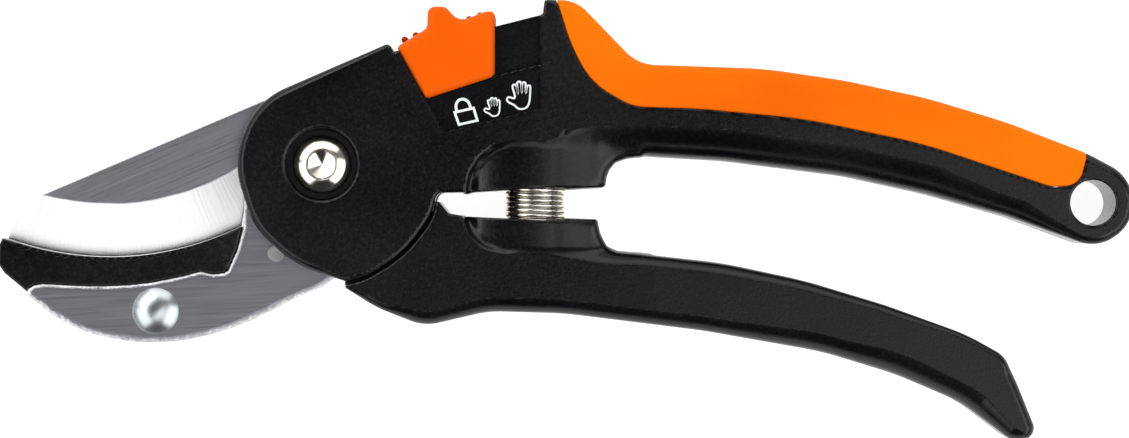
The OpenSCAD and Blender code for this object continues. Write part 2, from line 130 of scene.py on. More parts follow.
def round_parts(corners):
    """The arcs and straight runs of an outline with rounded corners."""
    n = len(corners)
    arcs, starts, ends = [], [], []
    for i in range(n):
        a = np.array(corners[i - 1][:2], float)
        b = np.array(corners[i][:2], float)
        d = np.array(corners[(i + 1) % n][:2], float)
        u, v = (a - b), (d - b)
        lu, lv = np.hypot(*u), np.hypot(*v)
        u, v = u / lu, v / lv
        half = math.acos(max(-1.0, min(1.0, float(u @ v)))) / 2
        t = min(corners[i][2] / math.tan(half), 0.49 * lu, 0.49 * lv)
        r = t * math.tan(half)
        e1, e2 = b - a, d - b
        convex = 1.0 if e1[0] * e2[1] - e1[1] * e2[0] > 0 else -1.0
        m = b + (u + v) / np.hypot(*(u + v)) * r / math.sin(half)
        w = min(corners[i][3], 0.68 * r) if convex > 0 else corners[i][3]
        k = (b - m) / np.hypot(*(b - m))
        arcs.append((m, r, k, math.cos(math.pi / 2 - half), convex, w))
        starts.append((b + u * t, w))
        ends.append((b + v * t, w))
    lines = [(ends[i], starts[(i + 1) % n]) for i in range(n)]
    return arcs, lines


PARTS = {}


def outline(X, Y, corners):
    """Signed distance to a rounded outline, and the edge round nearest to each point."""
    key = id(corners)
    if key not in PARTS:
        PARTS[key] = round_parts(corners)
    arcs, lines = PARTS[key]
    X, Y = np.broadcast_arrays(np.asarray(X, float), np.asarray(Y, float))
    best = np.full(X.shape, 1e9)
    side = np.ones(X.shape)
    wide = np.zeros(X.shape)
    for m, r, k, ch, convex, w in arcs:
        dx, dy = X - m[0], Y - m[1]
        rho = np.sqrt(dx * dx + dy * dy) + 1e-12
        dist = np.abs(rho - r)
        now = (dist < best) & (dx * k[0] + dy * k[1] >= rho * ch - 1e-9)
        best[now] = dist[now]
        side[now] = convex * np.sign(rho - r)[now]
        wide[now] = w
    for (p, w0), (q, w1) in lines:
        d = q - p
        ll = d @ d
        if ll < 1e-12:
            continue
        dx, dy = X - p[0], Y - p[1]
        t = np.clip((dx * d[0] + dy * d[1]) / ll, 0, 1)
        ex, ey = dx - t * d[0], dy - t * d[1]
        dist = np.sqrt(ex * ex + ey * ey)
        now = dist < best
        best[now] = dist[now]
        side[now] = np.where(d[0] * dy - d[1] * dx > 0, -1.0, 1.0)[now]
        wide[now] = (w0 + (w1 - w0) * t)[now]
    return best * side, wide


def poly(X, Y, pts):
    """Signed distance to a plain polygon."""
    X, Y = np.broadcast_arrays(np.asarray(X, float), np.asarray(Y, float))
    best = np.full(X.shape, 1e9)
    odd = np.zeros(X.shape, bool)
    n = len(pts)
    for i in range(n):
        x0, y0 = pts[i]
        x1, y1 = pts[(i + 1) % n]
        dx, dy = x1 - x0, y1 - y0
        ax, ay = X - x0, Y - y0
        t = np.clip((ax * dx + ay * dy) / (dx * dx + dy * dy + 1e-12), 0, 1)
        best = np.minimum(best, (ax - t * dx) ** 2 + (ay - t * dy) ** 2)
        if abs(dy) > 1e-12:
            odd ^= ((y0 > Y) != (y1 > Y)) & (X < dx * (Y - y0) / dy + x0)
    return np.where(odd, -1.0, 1.0) * np.sqrt(best)


def smin(a, b, k):
    h = np.clip(0.5 + 0.5 * (b - a) / k, 0, 1)
    return b * (1 - h) + a * h - k * h * (1 - h)


def smax(a, b, k):
    return -smin(-a, -b, k)


def track(s, v):
    return (TX + s * math.cos(SLOPE) - v * math.sin(SLOPE),
            TY + s * math.sin(SLOPE) + v * math.cos(SLOPE))


def oval(u, v, au, av):
    a, b = u / au, v / av
    q = np.sqrt(a * a + b * b) + 1e-6
    g = np.sqrt((a / au) ** 2 + (b / av) ** 2) / q + 1e-6
    return np.maximum((q - 1) / g, -5.0)


def barrel(X, Z, cx, ax, az, reach):
    """A round-topped block along Y: an oval section closed by softened sides."""
    return smax(oval(X - cx, Z - ZM, ax, az), np.abs(X - cx) - reach, 3.0)


def edge_rounded(d, w, Z, T):
    """A flat-faced body whose edges fall away over the width w."""
    a0 = math.radians(22)
    w = np.maximum(w, 0.2)
    h = np.minimum(6.5, 1.15 * w)
    W, H, zc = w / (1 - math.sin(a0)), h / math.cos(a0), T - h
    u = np.maximum(d + W, 0) / W
    v = np.maximum(np.abs(Z - ZM) - zc, 0) / H
    q = np.sqrt(u * u + v * v) + 1e-9
    g = np.sqrt((u / W) ** 2 + (v / H) ** 2) / q + 1e-3
    f = np.maximum((q - 1) / g, -4.0)
    return np.maximum(f, np.abs(Z - ZM) - T)


def ripple(X, Y, Z, s, seed):
    """A cheap smooth noise from crossed waves."""
    out = 0.0
    for i in range(5):
        a = 1.7 * i + seed
        k = s * (1 + 0.37 * i)
        out = out + np.sin(k * (X * math.cos(a) + Y * math.sin(a)) + 2.1 * i + seed) \
            * np.cos(0.83 * k * (Y * math.cos(a * 1.3) - X * math.sin(a * 1.3)) + Z * k * 0.7 + i)
    return out / 5

# ---------------------------------------------------------------- solids to meshes


def contour(name, f, lo, hi, h):
    """A mesh of f = 0 that keeps sharp edges, with true normals from f."""
    h = np.array(h if hasattr(h, "__len__") else (h, h, h), float)
    ax = [np.arange(lo[i] - 1.37 * h[i], hi[i] + 2.4 * h[i], h[i]) for i in range(3)]
    n = [len(a) for a in ax]
    F = np.empty(n, np.float32)
    step = max(1, int(4e6 / (n[1] * n[2])))
    for i in range(0, n[0], step):
        X = ax[0][i:i + step][:, None, None]
        F[i:i + step] = f(X, ax[1][None, :, None], ax[2][None, None, :])
    solid = F < 0
    m = [k - 1 for k in n]
    count = m[0] * m[1] * m[2]
    cells, pts, nrm, quads = [], [], [], []

    def cell(i, j, k):
        return (i * m[1] + j) * m[2] + k

    def grad(P):
        e = 0.02
        f0 = f(P[:, 0], P[:, 1], P[:, 2])
        G = np.stack([f(P[:, 0] + e, P[:, 1], P[:, 2]) - f0,
                      f(P[:, 0], P[:, 1] + e, P[:, 2]) - f0,
                      f(P[:, 0], P[:, 1], P[:, 2] + e) - f0], 1)
        return G / (np.linalg.norm(G, axis=1, keepdims=True) + 1e-12)

    for a in range(3):
        lo_s = [slice(None)] * 3
        hi_s = [slice(None)] * 3
        lo_s[a], hi_s[a] = slice(0, -1), slice(1, None)
        cut = solid[tuple(lo_s)] != solid[tuple(hi_s)]
        I = np.argwhere(cut)
        if not len(I):
            continue
        J = I.copy()
        J[:, a] += 1
        f0 = F[tuple(I.T)].astype(float)
        f1 = F[tuple(J.T)].astype(float)
        base = np.stack([ax[c][I[:, c]] for c in range(3)], 1)
        t0, t1 = np.zeros(len(I)), np.ones(len(I))
        for turn in range(3):
            t = t0 + (t1 - t0) * f0 / (f0 - f1)
            if turn == 1:
                t = 0.5 * (t0 + t1)
            P = base.copy()
            P[:, a] += t * h[a]
            if turn == 2:
                break
            fm = f(P[:, 0], P[:, 1], P[:, 2])
            same = (fm < 0) == (f0 < 0)
            t0, f0 = np.where(same, t, t0), np.where(same, fm, f0)
            t1, f1 = np.where(same, t1, t), np.where(same, f1, fm)
            f0 = np.where(np.abs(f0 - f1) < 1e-12, f1 + 1e-9, f0)
        N = grad(P)
        b, c = (a + 1) % 3, (a + 2) % 3
        ok = (I[:, b] > 0) & (I[:, c] > 0) & (I[:, b] < m[b]) & (I[:, c] < m[c])
        I, P, N = I[ok], P[ok], N[ok]
        ids = []
        for ob, oc in ((-1, -1), (0, -1), (0, 0), (-1, 0)):
            K = I.copy()
            K[:, b] += ob
            K[:, c] += oc
            ids.append(cell(K[:, 0], K[:, 1], K[:, 2]))
        q = np.stack(ids, 1)
        out = solid[tuple(I.T)]
        q[~out] = q[~out][:, ::-1]
        quads.append(q)
        for k in ids:
            cells.append(k)
            pts.append(P)
            nrm.append(N)
    quads = np.concatenate(quads)
    cells = np.concatenate(cells)
    pts = np.concatenate(pts)
    nrm = np.concatenate(nrm)
    used, inv = np.unique(cells, return_inverse=True)
    nc = len(used)
    num = np.bincount(inv, minlength=nc).astype(float)
    mid = np.stack([np.bincount(inv, pts[:, c], nc) / num for c in range(3)], 1)
    rel = pts - mid[inv]
    dot = (nrm * rel).sum(1)
    A = np.empty((nc, 3, 3))
    B = np.empty((nc, 3))
    for r in range(3):
        B[:, r] = np.bincount(inv, nrm[:, r] * dot, nc)
        for c in range(r, 3):
            A[:, r, c] = A[:, c, r] = np.bincount(inv, nrm[:, r] * nrm[:, c], nc)
    A += np.eye(3) * (0.004 * num)[:, None, None]
    off = np.linalg.solve(A, B[:, :, None])[:, :, 0]
    V = mid + off
    ci = np.stack([used // (m[1] * m[2]), (used // m[2]) % m[1], used % m[2]], 1)
    low = np.stack([ax[c][ci[:, c]] for c in range(3)], 1)
    V = np.clip(V, low - 0.05 * h, low + 1.05 * h)
    Q = np.searchsorted(used, quads)
    # normals at each face corner, taken a little way into the face
    C = V[Q]
    cen = C.mean(1, keepdims=True)
    at = (0.6 * C + 0.4 * cen).reshape(-1, 3)
    N = np.empty_like(at)
    for i in range(0, len(at), 200000):
        N[i:i + 200000] = grad(at[i:i + 200000])
    me = bpy.data.meshes.new(name)
    me.vertices.add(len(V))
    me.vertices.foreach_set("co", (V * MM).ravel())
    me.loops.add(Q.size)
    me.loops.foreach_set("vertex_index", Q.ravel().astype(np.int32))
    me.polygons.add(len(Q))
    me.polygons.foreach_set("loop_start", np.arange(0, Q.size, 4, dtype=np.int32))
    me.polygons.foreach_set("loop_total", np.full(len(Q), 4, np.int32))
    me.update(calc_edges=True)
    me.polygons.foreach_set("use_smooth", np.ones(len(Q), bool))
    me.normals_split_custom_set(N.tolist())
    me.update()
    ob = bpy.data.objects.new(name, me)
    bpy.context.scene.collection.objects.link(ob)
    print("made", name, len(Q), "quads")
    return ob


def solid_mesh(name, verts, faces, smooth=30.0):
    me = bpy.data.meshes.new(name)
    me.from_pydata([tuple(v) for v in verts], [], [tuple(f) for f in faces])
    me.update()
    me.polygons.foreach_set("use_smooth", np.ones(len(me.polygons), bool))
    me.set_sharp_from_angle(angle=math.radians(smooth))
    ob = bpy.data.objects.new(name, me)
    bpy.context.scene.collection.objects.link(ob)
    return ob


def lathe(name, profile, x, y, n=96, smooth=30.0):
    """Turns [radius, height] points about a vertical axis; the ends lie on it."""
    verts, faces = [], []
    inner = profile[1:-1]
    for r, z in inner:
        for i in range(n):
            g = 2 * math.pi * i / n
            verts.append(((x + r * math.cos(g)) * MM, (y + r * math.sin(g)) * MM, z * MM))
    lo = len(verts)
    verts.append((x * MM, y * MM, profile[0][1] * MM))
    verts.append((x * MM, y * MM, profile[-1][1] * MM))
    for j in range(len(inner) - 1):
        for i in range(n):
            e = (i + 1) % n
            faces.append((j * n + i, j * n + e, (j + 1) * n + e, (j + 1) * n + i))
    last = (len(inner) - 1) * n
    for i in range(n):
        e = (i + 1) % n
        faces.append((lo, e, i))
        faces.append((lo + 1, last + i, last + e))
    return solid_mesh(name, verts, faces, smooth)

# ---------------------------------------------------------------- materials


def new_mat(name):
    mat = bpy.data.materials.new(name)
    mat.use_nodes = True
    nt = mat.node_tree
    return mat, nt, nt.nodes["Principled BSDF"]


def node(nt, kind, **values):
    nd = nt.nodes.new(kind)
    for k, v in values.items():
        if k in nd.inputs:
            nd.inputs[k].default_value = v
        else:
            setattr(nd, k, v)
    return nd


def coords(nt, scale=(1, 1, 1), turn=0.0):
    tc = node(nt, "ShaderNodeTexCoord")
    rt = node(nt, "ShaderNodeMapping")
    rt.inputs["Rotation"].default_value = (0, 0, turn)
    nt.links.new(tc.outputs["Object"], rt.inputs["Vector"])
    mp = node(nt, "ShaderNodeMapping")
    mp.inputs["Scale"].default_value = scale
    nt.links.new(rt.outputs["Vector"], mp.inputs["Vector"])
    return mp.outputs["Vector"]


def noise(nt, vec, scale, detail=4.0, rough=0.5):
    nd = node(nt, "ShaderNodeTexNoise", Scale=scale, Detail=detail, Roughness=rough)
    nt.links.new(vec, nd.inputs["Vector"])
    return nd.outputs["Fac"]


def ramp(nt, fac, lo, hi, a, b):
    """Maps fac from lo..hi to a..b."""
    nd = node(nt, "ShaderNodeMapRange")
    nd.inputs["From Min"].default_value = lo
    nd.inputs["From Max"].default_value = hi
    nd.inputs["To Min"].default_value = a
    nd.inputs["To Max"].default_value = b
    nt.links.new(fac, nd.inputs["Value"])
    return nd.outputs["Result"]


def mix_col(nt, fac, a, b):
    nd = node(nt, "ShaderNodeMix", data_type="RGBA")
    for sock, v in ((nd.inputs[6], a), (nd.inputs[7], b)):
        if isinstance(v, (tuple, list)):
            sock.default_value = (*v[:3], 1.0)
        else:
            nt.links.new(v, sock)
    nt.links.new(fac, nd.inputs[0])
    return nd.outputs[2]


def add(nt, a, b, op="ADD"):
    nd = node(nt, "ShaderNodeMath", operation=op)
    for s, v in ((nd.inputs[0], a), (nd.inputs[1], b)):
        if isinstance(v, (int, float)):
            s.default_value = v
        else:
            nt.links.new(v, s)
    return nd.outputs[0]


def bump(nt, bsdf, height, dist, strength=1.0, normal=None):
    nd = node(nt, "ShaderNodeBump", Strength=strength, Distance=dist)
    nt.links.new(height, nd.inputs["Height"])
    if normal is not None:
        nt.links.new(normal, nd.inputs["Normal"])
    if bsdf is not None:
        nt.links.new(nd.outputs["Normal"], bsdf.inputs["Normal"])
    return nd.outputs["Normal"]


def plastic(name, base, base2, rough, grain_scale=2600, grain=0.00002, spec=0.5, coat=0.0,
            blotch=45, speckle=0.0, panel=False):
    mat, nt, bs = new_mat(name)
    v = coords(nt)
    big = noise(nt, v, blotch, 3.0)
    col = mix_col(nt, ramp(nt, big, 0.35, 0.65, 0, 1), base, base2)
    fine = noise(nt, v, grain_scale, 2.0, 0.6)
    mid = noise(nt, v, grain_scale * 0.55, 3.0, 0.6)
    if speckle:
        col = mix_col(nt, ramp(nt, mid, 0.55, 0.70, 0, speckle), col,
                      (base2[0] * 4 + 0.03, base2[1] * 4 + 0.03, base2[2] * 4 + 0.035))
    nt.links.new(col, bs.inputs["Base Color"])
    r = add(nt, ramp(nt, big, 0.3, 0.7, rough - 0.04, rough + 0.05),
            ramp(nt, mid, 0.3, 0.7, -0.04, 0.05))
    h = add(nt, fine, mid)
    if panel:
        # the sunk panels are smoother than the textured faces
        sp = node(nt, "ShaderNodeSeparateXYZ")
        nt.links.new(node(nt, "ShaderNodeTexCoord").outputs["Object"], sp.inputs[0])
        off = add(nt, sp.outputs[2], ZM * MM, "SUBTRACT")
        off = add(nt, off, 0.0, "ABSOLUTE")
        sunk = ramp(nt, off, 0.00805, 0.00815, 1, 0)
        near = ramp(nt, sp.outputs[0], -0.0043, -0.0040, 1, 0)
        high = ramp(nt, sp.outputs[1], 0.0150, 0.0155, 0, 1)
        m = add(nt, add(nt, sunk, near, "MULTIPLY"), high, "MULTIPLY")
        r = add(nt, r, add(nt, m, -0.05, "MULTIPLY"))
        col = mix_col(nt, m, col, (0.0020, 0.0018, 0.0025))
        nt.links.new(col, bs.inputs["Base Color"])
    nt.links.new(r, bs.inputs["Roughness"])
    bs.inputs["Specular IOR Level"].default_value = spec
    bs.inputs["Coat Weight"].default_value = coat
    bump(nt, bs, h, grain, 0.6)
    return mat


def brushed(name, base, rough, along=0.0, line=0.00001, aniso=0.5, dark=0.82, streak=(60, 2600, 60)):
    mat, nt, bs = new_mat(name)
    v = coords(nt, streak, along)
    lines = noise(nt, v, 1.0, 6.0, 0.7)
    wide = noise(nt, coords(nt), 90, 3.0)
    d = tuple(c * dark for c in base)
    col = mix_col(nt, ramp(nt, lines, 0.3, 0.7, 0, 1), d, base)
    nt.links.new(col, bs.inputs["Base Color"])
    bs.inputs["Metallic"].default_value = 1.0
    r = add(nt, ramp(nt, lines, 0.3, 0.7, rough - 0.05, rough + 0.07),
            ramp(nt, wide, 0.3, 0.7, -0.03, 0.03))
    nt.links.new(r, bs.inputs["Roughness"])
    bs.inputs["Anisotropic"].default_value = aniso
    bump(nt, bs, lines, line, 0.5)
    return mat


black = plastic("black_nylon", (0.0014, 0.0011, 0.0019), (0.0022, 0.0018, 0.0028), 0.23,
                grain_scale=2900, grain=0.000020, speckle=0.05, spec=0.33, panel=True)
black_pad = plastic("pad_plastic", (0.0012, 0.0010, 0.0016), (0.0020, 0.0018, 0.0026), 0.25,
                    grain_scale=2800, grain=0.000018, speckle=0.05, spec=0.35)
black_oxide = brushed("black_oxide_steel", (0.020, 0.019, 0.021), 0.45, line=0.000004,
                      aniso=0.0, streak=(500, 500, 500))
orange = plastic("orange_grip", (0.72, 0.112, 0.0), (0.84, 0.158, 0.0), 0.52,
                 grain_scale=3000, grain=0.000014, blotch=18, spec=0.05)
orange_hard = plastic("orange_slider", (0.74, 0.092, 0.0), (0.80, 0.106, 0.0), 0.38,
                      grain_scale=3400, grain=0.000006, blotch=30, spec=0.06)
ink = plastic("white_ink", (0.80, 0.84, 0.85), (0.68, 0.72, 0.74), 0.5, grain_scale=5000,
              grain=0.000004)


def paint_deep_shade(mat, colour):
    """Painted shade: the deeper parts of the slider, away from its faces, are coloured darker."""
    nt = mat.node_tree
    bs = nt.nodes["Principled BSDF"]
    old = bs.inputs["Base Color"].links[0].from_socket
    sp = node(nt, "ShaderNodeSeparateXYZ")
    nt.links.new(node(nt, "ShaderNodeTexCoord").outputs["Object"], sp.inputs[0])
    off = add(nt, add(nt, sp.outputs[2], ZM * MM, "SUBTRACT"), 0.0, "ABSOLUTE")
    nt.links.new(mix_col(nt, ramp(nt, off, 0.0050, 0.0066, 1, 0), old, colour),
                 bs.inputs["Base Color"])


# painted shade on the slider's sunk thumb ridges and sides
paint_deep_shade(orange_hard, (0.34, 0.040, 0.0))


def sheared_plate():
    """Brushed sheet steel whose sheared rim is torn and rough, and coloured near-white as a painted
    highlight.
    """
    mat, nt, bs = new_mat("jaw_steel")
    lines = noise(nt, coords(nt, (55, 3200, 60), math.radians(-3)), 1.0, 8.0, 0.75)
    patch = noise(nt, coords(nt, (14, 60, 20)), 1.0, 3.0)
    torn = noise(nt, coords(nt, (900, 900, 900)), 1.0, 6.0, 0.7)
    rim = noise(nt, coords(nt, (240, 240, 240)), 1.0, 4.0, 0.6)
    tc = node(nt, "ShaderNodeTexCoord")
    sp = node(nt, "ShaderNodeSeparateXYZ")
    nt.links.new(tc.outputs["Normal"], sp.inputs[0])
    up = node(nt, "ShaderNodeMath", operation="ABSOLUTE")
    nt.links.new(sp.outputs[2], up.inputs[0])
    edge = ramp(nt, up.outputs[0], 0.93, 0.985, 1, 0)
    flat = mix_col(nt, ramp(nt, lines, 0.32, 0.68, 0, 1), (0.23, 0.235, 0.255), (0.30, 0.305, 0.33))
    flat = mix_col(nt, ramp(nt, patch, 0.3, 0.7, 0, 0.35), flat, (0.36, 0.37, 0.40))
    # painted highlight: the sheared rim is coloured far brighter than the flats of the same steel; its torn
    # mottling is real
    rim_highlight = mix_col(nt, ramp(nt, torn, 0.35, 0.62, 0, 1), (0.55, 0.55, 0.56), (0.95, 0.95, 0.95))
    rim_highlight = mix_col(nt, ramp(nt, rim, 0.40, 0.62, 0, 0.5), rim_highlight, (0.55, 0.55, 0.56))
    nt.links.new(mix_col(nt, edge, flat, rim_highlight), bs.inputs["Base Color"])
    bs.inputs["Metallic"].default_value = 1.0
    mr = node(nt, "ShaderNodeMix", data_type="FLOAT")
    nt.links.new(edge, mr.inputs[0])
    nt.links.new(ramp(nt, lines, 0.3, 0.7, 0.28, 0.40), mr.inputs[2])
    nt.links.new(ramp(nt, torn, 0.3, 0.7, 0.45, 0.75), mr.inputs[3])
    nt.links.new(mr.outputs[0], bs.inputs["Roughness"])
    bs.inputs["Anisotropic"].default_value = 0.15
    across = node(nt, "ShaderNodeVectorTransform", vector_type="VECTOR", convert_from="OBJECT",
                  convert_to="WORLD")
    across.inputs[0].default_value = (0.05, 1.0, 0.0)
    nt.links.new(across.outputs[0], bs.inputs["Tangent"])
    n1 = bump(nt, None, lines, 0.000008, 0.5)
    bump(nt, bs, add(nt, torn, edge, "MULTIPLY"), 0.00005, 0.7, n1)
    return mat


plate_steel = sheared_plate()
chrome = brushed("bolt_chrome", (0.62, 0.59, 0.53), 0.16, line=0.0000012, aniso=0.0,
                 dark=0.96, streak=(300, 300, 300))
rivet_steel = brushed("rivet_steel", (0.46, 0.50, 0.52), 0.24, line=0.0000001, aniso=0.0,
                      dark=0.98, streak=(30, 30, 30))
pin_steel = brushed("pin_steel", (0.55, 0.55, 0.56), 0.3, line=0.000004, aniso=0.2,
                    streak=(400, 400, 400))
bronze = brushed("bushing_bronze", (0.52, 0.36, 0.17), 0.34, line=0.000004, aniso=0.2,
                 streak=(400, 400, 400))
wire_steel = brushed("spring_steel", (0.86, 0.82, 0.75), 0.17, line=0.000001, aniso=0.0,
                     dark=0.85, streak=(500, 500, 500))


def blade_material():
    """Brushed flats and a ground bevel with fine cross grinding; the bevel's near-white colour is partly
    painted reflection.
    """
    mat, nt, bs = new_mat("blade_steel")
    tc = node(nt, "ShaderNodeTexCoord")
    sep = node(nt, "ShaderNodeSeparateXYZ")
    nt.links.new(tc.outputs["Object"], sep.inputs[0])
    dx = add(nt, sep.outputs[0], EX * MM, "SUBTRACT")
    dy = add(nt, sep.outputs[1], EY * MM, "SUBTRACT")
    rr = add(nt, add(nt, add(nt, dx, dx, "MULTIPLY"), add(nt, dy, dy, "MULTIPLY")), 0.5, "POWER")
    wob = ramp(nt, noise(nt, coords(nt), 220, 3.0), 0.3, 0.7, -0.00012, 0.00012)
    mask = ramp(nt, add(nt, rr, wob), (EDGE_R - 10.1) * MM, (EDGE_R - 9.75) * MM, 0, 1)
    flat_lines = noise(nt, coords(nt, (60, 3400, 60), math.radians(-23)), 1.0, 8.0, 0.75)
    patch = noise(nt, coords(nt, (18, 70, 20), math.radians(-23)), 1.0, 3.0)
    ang = node(nt, "ShaderNodeMath", operation="ARCTAN2")
    nt.links.new(dx, ang.inputs[0])
    nt.links.new(dy, ang.inputs[1])
    cmb = node(nt, "ShaderNodeCombineXYZ")
    nt.links.new(add(nt, ang.outputs[0], 260.0, "MULTIPLY"), cmb.inputs[0])
    nt.links.new(add(nt, rr, 55.0, "MULTIPLY"), cmb.inputs[1])
    cross = noise(nt, cmb.outputs[0], 1.0, 8.0, 0.8)
    flat_col = mix_col(nt, ramp(nt, flat_lines, 0.3, 0.7, 0, 1), (0.37, 0.375, 0.40),
                       (0.41, 0.415, 0.445))
    flat_col = mix_col(nt, ramp(nt, patch, 0.3, 0.7, 0, 0.3), flat_col, (0.44, 0.45, 0.475))
    left = ramp(nt, sep.outputs[0], -0.100, -0.072, 0.55, 1.0)
    # partly painted reflection: the bevel's cross grinding is real, but its near-white tone over the same
    # steel's flats is painted
    bevel_grind_and_reflection_col = mix_col(nt, ramp(nt, cross, 0.38, 0.55, 0, 1), (0.72, 0.73, 0.75),
                      (1.0, 1.0, 1.0))
    bevel_grind_and_reflection_col = mix_col(nt, left, (0.80, 0.81, 0.82), bevel_grind_and_reflection_col)
    nt.links.new(mix_col(nt, mask, flat_col, bevel_grind_and_reflection_col), bs.inputs["Base Color"])
    bs.inputs["Metallic"].default_value = 1.0
    fr = ramp(nt, flat_lines, 0.3, 0.7, 0.25, 0.34)
    br = ramp(nt, cross, 0.3, 0.7, 0.50, 0.62)
    mr = node(nt, "ShaderNodeMix", data_type="FLOAT")
    nt.links.new(mask, mr.inputs[0])
    nt.links.new(fr, mr.inputs[2])
    nt.links.new(br, mr.inputs[3])
    nt.links.new(mr.outputs[0], bs.inputs["Roughness"])
    nt.links.new(ramp(nt, mask, 0, 1, 0.15, 0.9), bs.inputs["Anisotropic"])
    across = node(nt, "ShaderNodeCombineXYZ")
    nt.links.new(add(nt, dy, -1.0, "MULTIPLY"), across.inputs[0])
    nt.links.new(dx, across.inputs[1])
    unit = node(nt, "ShaderNodeVectorMath", operation="NORMALIZE")
    nt.links.new(across.outputs[0], unit.inputs[0])
    pick = node(nt, "ShaderNodeMix", data_type="VECTOR")
    nt.links.new(mask, pick.inputs[0])
    pick.inputs[4].default_value = (-0.39, 0.92, 0.0)
    nt.links.new(unit.outputs[0], pick.inputs[5])
    turned = node(nt, "ShaderNodeVectorTransform", vector_type="VECTOR", convert_from="OBJECT",
                  convert_to="WORLD")
    nt.links.new(pick.outputs[1], turned.inputs[0])
    nt.links.new(turned.outputs[0], bs.inputs["Tangent"])
    n1 = bump(nt, None, flat_lines, 0.000006, 0.5)
    hb = add(nt, cross, mask, "MULTIPLY")
    bump(nt, bs, hb, 0.000012, 0.6, n1)
    return mat


blade_steel = blade_material()


def put(ob, mat, body, slot, *replaced):
    ob.data.materials.clear()
    ob.data.materials.append(mat)
    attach(ob, body)
    if replaced:
        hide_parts(*replaced)
    return ob

# ---------------------------------------------------------------- upper handle


HEAD_SLOT = [polar(16.2, 84), polar(24, 84), polar(60, 88), (-100, 50), (-100, -40),
             polar(40, -106), polar(50, -60), polar(40, -12), polar(23.6, -12),
             polar(16.2, -12), (PX, PY)]
RECESS = [(-32.0, 33.5), (-22.4, 15.8), (-4.35, 20.3), (-4.35, 46), (-36, 46)]
GROOVE = [(-32.0, 33.5), (-26.2, 22.9), (-4.35, 28.4), (-4.35, 46), (-36, 46)]


def hexagon(X, Y, af, turn=0.0):
    c, s = math.cos(math.radians(turn)), math.sin(math.radians(turn))
    dx = np.abs((X - PX) * c + (Y - PY) * s)
    dy = np.abs((Y - PY) * c - (X - PX) * s)
    return np.maximum(dy, 0.5 * dy + math.sqrt(3) / 2 * dx) - af / 2


def f_upper_all(X, Y, Z):
    d, w = outline(X, Y, UPPER)
    f = edge_rounded(d, w, Z, T_UP)
    g = smax(barrel(X, Z, SX, 18.0, 8.85, 12.7), Y - 15.0, 0.5)
    low = 4.75 + (X + 18.5) * 0.0596
    g = smax(g, low - Y, 0.5)
    web = poly(X, Y, [(0, 6.0), (7.3, 6.5), (7.6, 7.8), (8.3, 9.0), (9.7, 10.4), (11.8, 11.3),
                      (14.2, 11.7), (14.2, 14), (0, 14)])
    az = np.abs(Z - ZM)
    web = smax(web, oval(X - 5.0, Z - ZM, 16.0, 7.0), 2.0)
    soft = np.clip(az * 0.45, 0.15, 2.6)
    g = smin(g, web, soft)
    return np.maximum(smin(f, g, np.clip(az * 0.35, 0.15, 1.8)), az - T_UP)


def f_upper(X, Y, Z):
    f = f_upper_all(X, Y, Z)
    dg, _ = outline(X, Y, GRIP)
    f = smax(f, 0.06 - dg, 0.25)
    az = np.abs(Z - ZM)
    r = np.sqrt((X - PX) ** 2 + (Y - PY) ** 2)
    slot = np.minimum(r - 16.2, poly(X, Y, HEAD_SLOT))
    f = smax(f, -np.maximum(slot, az - 4.02), 0.15)
    # counterbore with a small lead-in, nut pocket, bolt hole
    f = smax(f, -np.maximum(r - 6.7, 14.4 - Z), 0.6 * np.clip(Z - 16.8, 0.02, 1))
    f = np.maximum(f, -np.maximum(hexagon(X, Y, 10.2) - np.maximum(0, 0.4 - Z), Z - 4.0))
    f = np.maximum(f, -(r - 3.1))
    rh = np.sqrt((X - HX) ** 2 + (Y - HY) ** 2)
    f = smax(f, 4.2 - rh, 0.5)
    rs = np.sqrt((X - SX) ** 2 + (Z - ZM) ** 2)
    f = smax(f, -np.maximum(rs - 6.0, Y - 17.4), 0.4)
    # shallow panel for the marks and the deeper groove that the slider runs in
    pr = poly(X, Y, RECESS)
    pg = poly(X, Y, GROOVE)
    f = smax(f, -smax(pr, 8.0 - az, 0.12), 0.12)
    f = smax(f, -smax(pg, 6.4 - az, 0.2), 0.15)
    # the slot for the lock pin
    c, s = math.cos(SLOPE), math.sin(SLOPE)
    u = (X + 24) * c + (Y - 27) * s
    v = -(X + 24) * s + (Y - 27) * c
    u = u - np.clip(u, 0, 8.7)
    f = np.maximum(f, 1.6 - np.sqrt(u * u + v * v))
    return f


def f_grip(X, Y, Z):
    f = f_upper_all(X, Y, Z)
    dg, _ = outline(X, Y, GRIP)
    return smax(f, dg + 0.03, 0.45)


core = contour("upper_core_skin", f_upper, (-60.5, -12.5, 0), (105.7, 40.6, 18), (0.435, 0.435, 0.435))
put(core, black, "upper_handle", "black_nylon", "upper_handle_core")
grip = contour("soft_grip_skin", f_grip, (-1.5, 5.4, 0), (97.2, 40.6, 18), (0.42, 0.42, 0.42))
put(grip, orange, "upper_handle", "orange_grip", "upper_soft_grip")

# ---------------------------------------------------------------- lower handle


WEB = ([polar(18.2, a) for a in range(-22, -81, -6)] + [polar(22.7, -80), polar(23.4, -74),
       polar(26, -66), polar(28, -50), polar(26, -24)])
HEEL = [polar(31, a) for a in (-96, -84, -72, -60, -48)] + [polar(20, -40), polar(20, -96)]


